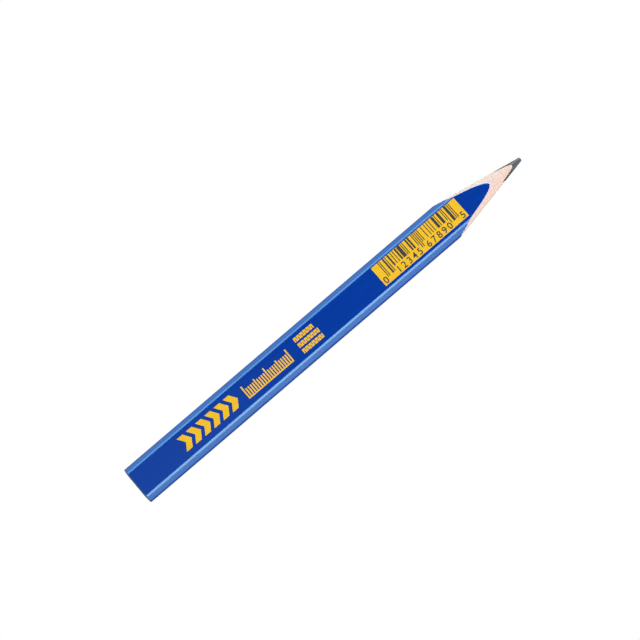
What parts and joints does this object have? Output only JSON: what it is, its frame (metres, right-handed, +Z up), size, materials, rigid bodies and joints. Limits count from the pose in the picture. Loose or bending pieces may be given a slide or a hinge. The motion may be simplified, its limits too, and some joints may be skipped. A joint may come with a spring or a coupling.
{
  "type": "carpenter pencil",
  "caption": "Flat octagonal carpenter's pencil: glued wood slats around a flat graphite lead, primed and lacquered, printed on one broad face and sharpened to a cone.",
  "frame": {"origin": "middle of the footprint, on the surface that the pencil lies on", "axes": "+X along the barrel to the writing tip, +Y across its width, +Z up through its thickness, the printed face on top"},
  "size_m": [0.178, 0.0146, 0.0074],
  "materials": {
    "wood": "bare, cut across the grain by sharpening",
    "graphite": "burnished grey graphite and clay",
    "glue": "dried translucent wood glue",
    "primer": "white undercoat",
    "lacquer": "gloss blue lacquer",
    "ink": "satin yellow printing ink",
    "black_ink": "matt black printing ink"
  },
  "bodies": {
    "root": {"upper_wood_slat": "wood", "lower_wood_slat": "wood", "graphite_lead": "graphite", "glue_film": "glue", "primer_coat": "primer", "lacquer_coat": "lacquer", "label_panel": "ink", "printed_chevron_1": "ink", "printed_chevron_2": "ink", "printed_chevron_3": "ink", "printed_chevron_4": "ink", "printed_chevron_5": "ink", "printed_chevron_6": "ink", "printed_scale": "ink", "printed_row_1": "ink", "printed_row_2": "ink", "printed_row_3": "ink"}
  },
  "joints": []
}
